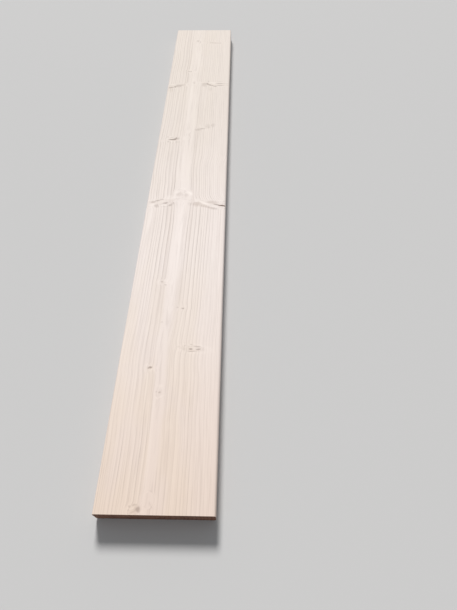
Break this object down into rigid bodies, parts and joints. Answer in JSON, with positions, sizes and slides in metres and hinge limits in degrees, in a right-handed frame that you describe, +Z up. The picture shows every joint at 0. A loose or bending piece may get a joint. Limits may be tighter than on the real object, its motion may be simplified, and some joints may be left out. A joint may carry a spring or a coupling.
{
  "type": "softwood plank",
  "caption": "Straight planed softwood plank lying flat, with rounded long edges, square crosscut ends, knots and a pale grain band along its middle.",
  "frame": {"origin": "middle of the lower face, on the surface that the plank lies on", "axes": "+Y along the length and the grain, +X across the width, +Z up through the thickness to the face that shows"},
  "size_m": [0.12, 1, 0.021],
  "materials": {
    "planed_softwood": "bare planed spruce, matte, unfinished"
  },
  "bodies": {
    "root": {"plank": "planed_softwood"}
  },
  "joints": []
}
